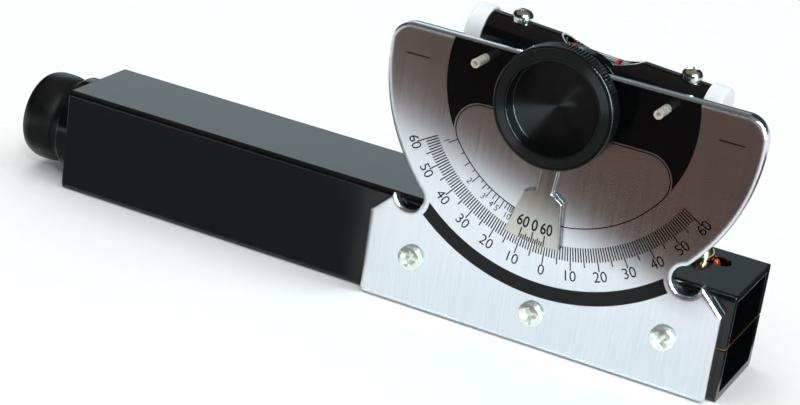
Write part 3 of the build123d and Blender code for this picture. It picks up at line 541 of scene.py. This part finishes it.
plateScrew = {
    "head": 2.36, "height": 1.5, "skirt": 0.36, "shank": 1.25, "length": 5.4, "pitch": 0.45, "recess": 1.2,
    "armWidth": 0.95, "armReach": 1.5, "places": [(-24.5, 9.65), (-0.4, 6.35), (23.7, 9.65)],
    "spins": [0.35, 1.2, 0.75],
}
plateScrewGrids = [
    screwGrid(plateScrew, lambda a, b, d, x=x, z=z: dialPlace(a + x, b + z - pivotHeight, plateFace - d),
              spin, crossRecess(plateScrew))
    for (x, z), spin in zip(plateScrew["places"], plateScrew["spins"])]
plateScrewPiece = gridPiece("plateScrewHeads", plateScrewGrids, zinc, "frame")
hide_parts("plate_screws")

vialScrew = {
    "head": 1.95, "height": 2.2, "skirt": 0.3, "shank": 1.0, "length": 10.36, "pitch": 0.4, "recess": 0.72,
    "armWidth": 0.52, "armReach": 1.15, "seat": 4.03, "offsets": [-15.3, 16.7], "spins": [0.2, 0.9],
}
vialScrewGrids = [
    screwGrid(vialScrew, lambda a, b, d, along=along: levelPlace(a + along, d + vialScrew["seat"], b),
              spin, crossRecess(vialScrew))
    for along, spin in zip(vialScrew["offsets"], vialScrew["spins"])]
vialScrewPiece = gridPiece("vialScrewHeads", vialScrewGrids, brightZinc, "index")
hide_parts("vial_screws")

mirrorScrew = {
    "head": 2.4, "height": 2.5, "skirt": 0.08, "shank": 1.25, "length": 2.7, "pitch": 0.45, "recess": 0.6,
    "slotWidth": 0.5, "place": (23.3, 3.5), "spin": math.radians(-30),
}
mirrorScrewGrid = screwGrid(
    mirrorScrew,
    lambda a, b, d: np.stack([a + mirrorScrew["place"][0], b + mirrorScrew["place"][1], d + tubeTop], -1),
    mirrorScrew["spin"], slotRecess(mirrorScrew))
mirrorScrewPiece = gridPiece("mirrorScrewHead", [mirrorScrewGrid], brass, "frame")
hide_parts("mirror_screw")

# A drop of thread lacquer that seals the mirror's screw where it was set

lacquerDrop = {
    "middle": (26.15, 3.95), "halfLength": 0.65, "halfWidth": 0.75, "base": 18.75, "height": 1.4,
    "rows": 14, "columns": 40,
    "waves": [(3, 0.12, 1), (5, 0.07, 0)],      # how many waves round it, their size and their shift
}


def lacquerDropPiece():
    # a drop: its height is a half circle over its radius, and its outline wanders by a few sines
    d = lacquerDrop
    fall = np.linspace(0, math.pi / 2, d["rows"])
    profile = np.stack([np.append(np.sin(fall), 0), np.append(np.cos(fall), 0)], 1)

    def wander(radius, depth, turn):
        waves = [size * np.sin(count * turn + shift) for count, size, shift in d["waves"]]
        return radius * sum(waves, 1), depth
    grid = turned(profile, lambda a, b, h: np.stack([
        a * d["halfLength"] + d["middle"][0], b * d["halfWidth"] + d["middle"][1],
        h * d["height"] + d["base"]], -1), d["columns"], wander)
    gridPiece("threadLacquer", [grid], sealLacquer, "frame")


lacquerDropPiece()
print("turned and moulded pieces made")


def slabFromOutline(outline, front, back, turn=0.0):
    # a thin flat shape: the outline once at the front, once at the back, and a wall between them
    count = len(outline)
    ahead = dialPlace(outline[:, 0], outline[:, 1], front, turn)
    behind = dialPlace(outline[:, 0], outline[:, 1], back, turn)
    here = np.arange(count)
    beyond = (here + 1) % count
    walls = np.stack([here, beyond, beyond + count, here + count], axis=1)
    faces = [here.tolist(), (here[::-1] + count).tolist()] + walls.tolist()
    return np.concatenate([ahead, behind]), faces


def radialBars(angles, inner, outer, width, front, back, turn=0.0):
    # bars that point at the pivot: each has 8 corners, from its angle off straight down, its inner and
    # outer radius and its width
    down = np.stack([np.sin(angles), -np.cos(angles)], axis=-1)
    side = np.stack([np.cos(angles), np.sin(angles)], axis=-1) * width / 2
    inner = np.broadcast_to(inner, angles.shape)[:, None]
    outer = np.broadcast_to(outer, angles.shape)[:, None]
    corners = np.stack([down * inner - side, down * inner + side,
                        down * outer + side, down * outer - side], 1)
    ahead = dialPlace(corners[..., 0], corners[..., 1], front, turn)
    behind = dialPlace(corners[..., 0], corners[..., 1], back, turn)
    points = np.concatenate([ahead, behind], axis=1).reshape(-1, 3)
    box = np.array([[0, 1, 2, 3], [7, 6, 5, 4], [0, 4, 5, 1], [1, 5, 6, 2], [2, 6, 7, 3], [3, 7, 4, 0]])
    faces = (box[None] + 8 * np.arange(len(angles))[:, None, None]).reshape(-1, 4)
    return points, faces.tolist()


def joined(parts):
    # several sets of points and faces as one
    points, faces, start = [], [], 0
    for partPoints, partFaces in parts:
        points.append(partPoints)
        faces += [np.add(face, start).tolist() for face in partFaces]
        start += len(partPoints)
    return np.concatenate(points), faces


def arcLine(centre, radius, fromAngle, toAngle, steps):
    # points along an arc, its angles in degrees from straight down, growing to the right
    swing = np.radians(np.linspace(fromAngle, toAngle, steps))
    return np.stack([centre[0] + radius * np.sin(swing), centre[1] - radius * np.cos(swing)], axis=1)


def figureShape(text, height, squeeze, weight):
    # a figure's mesh from the built-in face, centred, with its height set in mm
    curve = bpy.data.curves.new("figure" + text, "FONT")
    curve.body = text
    curve.size = 1.0
    curve.offset = weight
    curve.resolution_u = 4
    holder = bpy.data.objects.new("figure" + text, curve)
    mesh = bpy.data.meshes.new_from_object(holder)
    places = np.zeros(len(mesh.vertices) * 3)
    mesh.vertices.foreach_get("co", places)
    places = places.reshape(-1, 3)[:, :2]
    faces = [list(face.vertices) for face in mesh.polygons]
    bpy.data.objects.remove(holder)
    bpy.data.curves.remove(curve)
    bpy.data.meshes.remove(mesh)
    low, high = places.min(0), places.max(0)
    tall = height / (high[1] - low[1])
    return (places - (low + high) / 2) * [tall * squeeze, tall], faces


def placedFigure(text, angle, radius, settings, front, turn=0.0):
    # a figure on the dial with its head towards the pivot, its middle at a radius and an angle
    flat, faces = figureShape(text, settings["height"], settings["squeeze"], settings["weight"])
    swing = math.radians(angle)
    right = np.array([math.cos(swing), math.sin(swing)])
    inward = np.array([-math.sin(swing), math.cos(swing)])
    middle = -inward * radius
    spots = middle + flat[:, :1] * right + flat[:, 1:] * inward
    return dialPlace(spots[:, 0], spots[:, 1], front, turn), faces


# Print on the plate

plateInk = {
    "thickness": 0.012, "sunk": 0.03, "discRadius": 23.0, "discTopMargin": 0.32,
    "windowTop": -5.7, "windowCorner": 4.6, "windowStrip": 0.36, "lineWidth": 0.2,
    "bandInner": 34.27, "bandOuter": 36.9, "bandHollow": 4.05,
    "notchCentre": 36.8, "notchAngle": 45.5, "notchShift": -0.4,
}
frontOfInk = plateFace - plateInk["thickness"]
backOfInk = plateFace + plateInk["sunk"]
windowCentreUp = plateInk["windowTop"] - plateInk["windowCorner"]
windowCentreAcross = math.sqrt(
    (plateInk["discRadius"] - plateInk["windowCorner"]) ** 2 - windowCentreUp ** 2)
cornerSwing = math.degrees(math.atan2(windowCentreAcross, -windowCentreUp))


def blackGround():
    # the disc's black: its round sides, the plate's top edge, and below it the window's rounded top
    p = plateInk
    top = plateTop - pivotHeight - p["discTopMargin"]
    topSwing = 90 + math.degrees(math.asin(top / p["discRadius"]))
    shoulder = p["windowCorner"] + p["windowStrip"]
    reach = p["discRadius"] - p["windowCorner"]
    tipTurn = math.degrees(math.acos(
        (p["discRadius"] ** 2 - reach ** 2 - shoulder ** 2) / (2 * reach * shoulder)))
    tipAngle = math.radians(cornerSwing + tipTurn)
    tipSwing = math.degrees(math.atan2(windowCentreAcross + shoulder * math.sin(tipAngle),
                                       shoulder * math.cos(tipAngle) - windowCentreUp))
    rightCorner = arcLine((windowCentreAcross, windowCentreUp), shoulder, 180, cornerSwing + tipTurn, 24)
    leftCorner = rightCorner[::-1] * [-1, 1]
    rightSide = arcLine((0, 0), p["discRadius"], tipSwing, topSwing, 60)[1:]
    leftSide = rightSide[::-1] * [-1, 1]
    outline = np.concatenate([leftCorner, rightCorner, rightSide, leftSide])
    return slabFromOutline(outline, frontOfInk, backOfInk)


def arcBand():
    # the black band between the notches: two arcs, with ends hollowed round each notch, where a
    # circle round the notch's middle crosses both arcs
    p = plateInk
    radii = np.array([p["bandInner"], p["bandOuter"]])
    swing = math.radians(p["notchAngle"])

    def bandEnd(sideways):
        # for a notch on the right: the swing at which each arc ends, and the hollow from inner to outer
        centre = np.array([p["notchCentre"] * math.sin(swing) + sideways,
                           -p["notchCentre"] * math.cos(swing)])
        reach = np.linalg.norm(centre)
        ends = math.degrees(math.atan2(centre[0], -centre[1])) - np.degrees(np.arccos(
            (radii ** 2 + reach ** 2 - p["bandHollow"] ** 2) / (2 * radii * reach)))
        swings = np.radians(ends)
        corners = radii[:, None] * np.stack([np.sin(swings), -np.cos(swings)], 1) - centre
        turns = np.linspace(*(np.arctan2(corners[:, 1], corners[:, 0]) % (2 * math.pi)), 14)[1:-1]
        return ends, centre + p["bandHollow"] * np.stack([np.cos(turns), np.sin(turns)], 1)
    rightEnds, rightHollow = bandEnd(p["notchShift"])
    leftEnds, leftHollow = bandEnd(-p["notchShift"])
    outline = np.concatenate([
        arcLine((0, 0), radii[0], -leftEnds[0], rightEnds[0], 90), rightHollow,
        arcLine((0, 0), radii[1], rightEnds[1], -leftEnds[1], 90), leftHollow[::-1] * [-1, 1]])
    return slabFromOutline(outline, frontOfInk, backOfInk)


def windowLine():
    # the thin line round the bare window: its lower arc, its two corners and its straight top
    half = plateInk["lineWidth"] / 2

    def loop(offset):
        lower = arcLine((0, 0), plateInk["discRadius"] + offset, -cornerSwing, cornerSwing, 120)
        right = arcLine((windowCentreAcross, windowCentreUp), plateInk["windowCorner"] + offset,
                        cornerSwing, 180, 24)[1:]
        return np.concatenate([lower, right, right[::-1] * [-1, 1]])
    outside, inside = loop(half), loop(-half)
    count = len(outside)
    rings = [dialPlace(line[:, 0], line[:, 1], y) for line, y in
             ((outside, frontOfInk), (inside, frontOfInk), (inside, backOfInk), (outside, backOfInk))]
    here = np.arange(count)
    beyond = (here + 1) % count
    faces = np.concatenate([
        np.stack([a * count + here, a * count + beyond, b * count + beyond, b * count + here], axis=1)
        for a, b in ((0, 1), (1, 2), (2, 3), (3, 0))])
    return np.concatenate(rings), faces.tolist()


meshPiece("dialBlackPrint", *joined([blackGround(), arcBand(), windowLine()]), ink, "frame")

degreeScale = {
    "inner": 26.46, "outer": 29.05, "fiveOuter": 30.0, "tenOuter": 30.7, "barWidth": 0.22,
    "reach": 60, "shortStep": 5, "longStep": 10, "labelRadius": 31.7, "height": 1.95, "squeeze": 0.95,
    "weight": 0.0, "labelPull": 0.55, "levelInner": 26.4, "levelOuter": 31.1,
}
degreeSteps = np.arange(-degreeScale["reach"], degreeScale["reach"] + 1)
barEnds = np.where(
    degreeSteps % degreeScale["longStep"] == 0, degreeScale["tenOuter"],
    np.where(degreeSteps % degreeScale["shortStep"] == 0, degreeScale["fiveOuter"], degreeScale["outer"]))
degreeBars = radialBars(np.radians(degreeSteps.astype(float)), degreeScale["inner"], barEnds,
                        degreeScale["barWidth"], frontOfInk, backOfInk)
levelBars = radialBars(np.radians(np.array([-90.0, 90.0])), degreeScale["levelInner"],
                       degreeScale["levelOuter"], degreeScale["barWidth"], frontOfInk, backOfInk)
# the figures stand a little nearer the pivot towards both ends of the scale
degreeFigures = [
    placedFigure(str(abs(step)), step,
                 degreeScale["labelRadius"] - degreeScale["labelPull"] * (step / degreeScale["reach"]) ** 2,
                 degreeScale, frontOfInk)
    for step in range(-degreeScale["reach"], degreeScale["reach"] + 1, degreeScale["longStep"])]
meshPiece("degreeScale", *joined([degreeBars, levelBars]), ink, "frame")
meshPiece("degreeFigures", *joined(degreeFigures), ink, "frame")

# The slope scale reads against the vernier arm's left edge, so each mark stands that far past the
# angle whose slope is one in its number.
slopeScale = {
    "base": 22.95, "wholeOuter": 24.95, "halfOuter": 24.3, "quarterOuter": 23.6, "barWidth": 0.18,
    "armHalfAngle": 11.0, "labelRadius": 25.15, "labelLead": 1.15, "height": 1.2, "squeeze": 0.85,
    "weight": 0.0,
    "whole": [1, 2, 3, 4, 5, 10], "half": [1.5, 2.5, 3.5, 6, 7, 8, 9], "quarter": [1.25, 1.75, 2.25, 2.75],
}


def slopeAngle(ratio):
    # where the mark for a slope of one in ratio stands, in degrees from straight down
    return -math.degrees(math.atan(1 / ratio)) - slopeScale["armHalfAngle"]


slopeBars = [radialBars(np.radians(np.array([slopeAngle(n) for n in slopeScale[kind]])), slopeScale["base"],
                        slopeScale[kind + "Outer"], slopeScale["barWidth"], frontOfInk, backOfInk)
             for kind in ("whole", "half", "quarter")]
slopeFigures = [placedFigure(str(n), slopeAngle(n) - slopeScale["labelLead"], slopeScale["labelRadius"],
                             slopeScale, frontOfInk) for n in slopeScale["whole"]]
meshPiece("slopeScale", *joined(slopeBars + slopeFigures), ink, "frame")

# Vernier: ten minutes to a division, six divisions each way
vernier = {
    "reach": 27.0, "longInner": 25.0, "halfInner": 25.85, "shortInner": 26.2, "barWidth": 0.22,
    "divisions": 6, "halfEvery": 3, "division": 5 / 6, "labelRadius": 23.75, "height": 2.2, "squeeze": 0.78,
    "weight": 0.018, "sideLabel": 5.35, "thickness": 0.012, "sunk": 0.03,
}
frontOfVernierInk = armFace - vernier["thickness"]
backOfVernierInk = armFace + vernier["sunk"]
vernierSteps = np.arange(-vernier["divisions"], vernier["divisions"] + 1)
vernierInner = np.where(
    vernierSteps % vernier["divisions"] == 0, vernier["longInner"],
    np.where(vernierSteps % vernier["halfEvery"] == 0, vernier["halfInner"], vernier["shortInner"]))
vernierBars = radialBars(np.radians(vernierSteps * vernier["division"]), vernierInner, vernier["reach"],
                         vernier["barWidth"], frontOfVernierInk, backOfVernierInk, indexReading)
vernierFigures = [
    placedFigure(text, angle, vernier["labelRadius"], vernier, frontOfVernierInk, indexReading)
    for text, angle in (("60", -vernier["sideLabel"]), ("0", 0), ("60", vernier["sideLabel"]))]
meshPiece("vernierMarks", *joined([vernierBars] + vernierFigures), ink, "index")
print("scales printed")

# Floor, light and camera

studio = {
    "floorSize": 8.0, "floorDark": "#f8f6f3", "floorLight": "#fdfbf8",
    "backdrop": "#ffffff", "backdropStrength": 1.0, "ambient": "#e6ebf0", "ambientStrength": 0.72,
    "mirrored": "#25282b", "mirroredStrength": 1.0,
}


def flatStage(name, corners, material):
    # a flat studio card from its corners in metres
    mesh = bpy.data.meshes.new(name)
    mesh.from_pydata(corners, [], [tuple(range(len(corners)))])
    mesh.materials.append(material)
    card = bpy.data.objects.new(name, mesh)
    bpy.context.scene.collection.objects.link(card)
    return card


floorMaterial, floorTree, floorPlace = startMaterial("paperSweep")
floorGrain = addNode(floorTree, "TexNoise", {"Scale": 0.33, "Detail": 3.0}, [(floorPlace, "Vector")])
floorTone = addNode(floorTree, "Mix", {
    "data_type": "RGBA", 6: hexColour(studio["floorDark"]), 7: hexColour(studio["floorLight"])},
    [(floorGrain.outputs["Fac"], 0)])
floorShader = addNode(floorTree, "BsdfPrincipled", {"Roughness": 0.9, "Specular IOR Level": 0.0},
                      [(floorTone.outputs[2], "Base Color")])
addNode(floorTree, "OutputMaterial", links=[(floorShader.outputs["BSDF"], "Surface")])
floorHalf = studio["floorSize"] / 2
flatStage("studioFloor", [(-floorHalf, -floorHalf, 0), (floorHalf, -floorHalf, 0), (floorHalf, floorHalf, 0),
                          (-floorHalf, floorHalf, 0)], floorMaterial)

# The world is white paper to the eye, soft daylight to matt surfaces and a dim room to glossy ones.
world = bpy.data.worlds.new("studioWorld")
bpy.context.scene.world = world
world.use_nodes = True
worldTree = world.node_tree
worldTree.nodes.clear()
ray = addNode(worldTree, "LightPath").outputs
ambient, mirrored, backdrop = [
    addNode(worldTree, "Background", {
        "Color": hexColour(studio[k]), "Strength": studio[k + "Strength"]}).outputs[0]
    for k in ("ambient", "mirrored", "backdrop")]
room = addNode(worldTree, "MixShader", {}, [(ray["Is Glossy Ray"], 0), (ambient, 1), (mirrored, 2)])
mixed = addNode(worldTree, "MixShader", {}, [(ray["Is Camera Ray"], 0), (room.outputs[0], 1), (backdrop, 2)])
addNode(worldTree, "OutputWorld", links=[(mixed.outputs[0], "Surface")])

# Cards that are seen only in reflections, in metres. The front one lies on the floor and darkens the
# upper dial and the black surfaces as a dim room does, the side one the front of the tube and the end
# one its cut end. The near one lightens the foot of the bracket, and the ceiling is the dull room
# overhead that edges and round tops show. Each fades in across a line: fadeLine is two points of it,
# and fade the distances past it over which it does.
cards = {
    "darkCardFront": {
        "colour": "#57443b", "height": 0.0015, "fadeLine": [(-0.1862, -0.140), (0.0338, -0.0105)],
        "corners": [(-0.186, -0.151), (0.034, -0.0105), (0.018, -0.050), (0.030, -0.070), (0.075, -0.100),
                    (0.120, -0.250), (-0.046, -0.370)], "fade": (0.017, 0.033)},
    "darkCardSide": {
        "colour": "#808486", "height": 0.001, "fadeLine": [(-0.032, -0.008), (-0.054, -0.056)],
        "corners": [(-0.032, -0.008), (-0.128, -0.008), (-0.146, -0.070), (-0.060, -0.070)],
        "fade": (0.0, 0.006)},
    "darkCardEnd": {
        "colour": "#2c2f30", "height": 0.001, "fadeLine": [(0.0352, -0.2), (0.0352, 0.2)],
        "corners": [(0.0352, -0.009), (0.110, -0.009), (0.110, 0.120), (0.0352, 0.120)],
        "fade": (0.0, 0.001)},
    "paleCardNear": {
        "colour": "#f6fdff", "height": 0.0006, "fadeLine": [(0.06, -0.048), (-0.06, -0.048)],
        "corners": [(-0.0345, -0.0125), (0.034, -0.0125), (0.030, -0.050), (-0.052, -0.050)],
        "fade": (0.0, 0.030)},
    "dullCeiling": {
        "colour": "#7c7369", "height": 1.1, "fadeLine": [(-1.5, 1.0), (1.5, 1.0)],
        "corners": [(-1.4, 1.0), (1.4, 1.0), (1.4, -0.9), (-1.4, -0.9)], "fade": (0.0, 0.5)},
}


def reflectedCard(name, card):
    # a card whose own glow covers what lies behind it as far as it has faded in
    start, end = np.array(card["fadeLine"])
    run = (end - start) / np.linalg.norm(end - start)
    away = np.array([run[1], -run[0]])
    material = bpy.data.materials.new(name)
    material.use_nodes = True
    tree = material.node_tree
    tree.nodes.clear()
    place = addNode(tree, "TexCoord").outputs["Object"]
    offset = addNode(tree, "VectorMath", {"operation": "SUBTRACT", 1: (*start, 0)}, [(place, 0)])
    inward = addNode(tree, "VectorMath", {"operation": "DOT_PRODUCT", 1: (*away, 0)},
                     [(offset.outputs["Vector"], 0)])
    cover = addNode(tree, "MapRange", {
        "interpolation_type": "SMOOTHSTEP", "From Min": card["fade"][0], "From Max": card["fade"][1]},
        [(inward.outputs["Value"], "Value")])
    clear = addNode(tree, "BsdfTransparent")
    tint = addNode(tree, "Emission", {"Color": hexColour(card["colour"]), "Strength": 1.0})
    blend = addNode(tree, "MixShader", {},
                    [(cover.outputs["Result"], 0), (clear.outputs[0], 1), (tint.outputs[0], 2)])
    addNode(tree, "OutputMaterial", links=[(blend.outputs[0], "Surface")])
    flat = flatStage(name, [(*spot, card["height"]) for spot in card["corners"]], material)
    flat.visible_camera = flat.visible_diffuse = flat.visible_shadow = False
    flat.visible_transmission = flat.visible_volume_scatter = False


for cardName, card in cards.items():
    reflectedCard(cardName, card)

# Lamps, in metres: glow is how bright a lamp's face looks, white being 1
lamps = {
    "windowBackLeft": {
        "place": (-1.04, 1.60, 0.70), "target": (-0.07, 0, 0.02), "size": (0.84, 0.84), "glow": 1.15,
        "colour": "#dceff4"},
    "keyAboveCamera": {
        "place": (0.36, -0.66, 0.62), "target": (0, 0, 0.03), "size": (0.13, 0.13), "glow": 36.0,
        "colour": "#f3fbff"},
    "windowBackRight": {
        "place": (-0.42, 1.60, 0.70), "target": (-0.02, 0, 0.02), "size": (0.34, 0.84), "glow": 0.34,
        "colour": "#dceff4"},
    "stripRight": {
        "place": (0.95, -0.5, 0.55), "target": (0, -0.02, 0.045), "size": (0.16, 1.1), "glow": 110.0,
        "colour": "#dcf8ff", "mattToo": False},
    "overheadSoft": {
        "place": (0.0, 0.0, 1.3), "target": (0, 0.001, 0), "size": (1.8, 1.8), "glow": 0.95,
        "colour": "#ffffff", "mirroredToo": False},
}


def softBox(name, place, target, size, glow, colour, mirroredToo=True, mattToo=True):
    # a rectangular light aimed at a point; mirroredToo and mattToo say whether glossy and matt
    # surfaces show it
    data = bpy.data.lights.new(name, "AREA")
    data.shape = "RECTANGLE"
    data.size, data.size_y = size
    data.energy = glow * math.pi * size[0] * size[1]
    data.color = hexColour(colour)[:3]
    lamp = bpy.data.objects.new(name, data)
    toward = np.array(target) - np.array(place)
    back = -toward / np.linalg.norm(toward)
    side = np.cross([0, 0, 1], back)
    side = side / np.linalg.norm(side)
    up = np.cross(back, side)
    lamp.matrix_world = Matrix([[side[k], up[k], back[k], place[k]] for k in range(3)] + [[0, 0, 0, 1]])
    lamp.visible_camera = False
    lamp.visible_glossy = mirroredToo
    lamp.visible_diffuse = mattToo
    bpy.context.scene.collection.objects.link(lamp)


for lampName, lampSettings in lamps.items():
    softBox(lampName, **lampSettings)

# The camera stands where the photograph's outlines place it
view = {
    "azimuth": 23.4543, "elevation": 21.2717, "roll": 8.3695,
    "place": (0.113516, -0.338612, 0.157783), "focalPixels": 2149.57, "photoWidth": 800, "sensor": 36.0,
    "nearest": 0.01, "farthest": 20,
}
azimuth, elevation, roll = (math.radians(view[k]) for k in ("azimuth", "elevation", "roll"))
back = np.array([math.sin(azimuth) * math.cos(elevation), -math.cos(azimuth) * math.cos(elevation),
                 math.sin(elevation)])
level = np.cross(-back, [0, 0, 1])
level = level / np.linalg.norm(level)
upright = np.cross(level, -back)
across = math.cos(roll) * level + math.sin(roll) * upright
upward = -math.sin(roll) * level + math.cos(roll) * upright
cameraData = bpy.data.cameras.new("photoCamera")
cameraData.sensor_width = view["sensor"]
cameraData.lens = view["focalPixels"] / view["photoWidth"] * view["sensor"]
cameraData.clip_start, cameraData.clip_end = view["nearest"], view["farthest"]
camera = bpy.data.objects.new("photoCamera", cameraData)
camera.matrix_world = Matrix(
    [[across[k], upward[k], back[k], view["place"][k]] for k in range(3)] + [[0, 0, 0, 1]])
bpy.context.scene.collection.objects.link(camera)
bpy.context.scene.camera = camera
bpy.context.scene.view_settings.view_transform = "Standard"
print("studio ready")
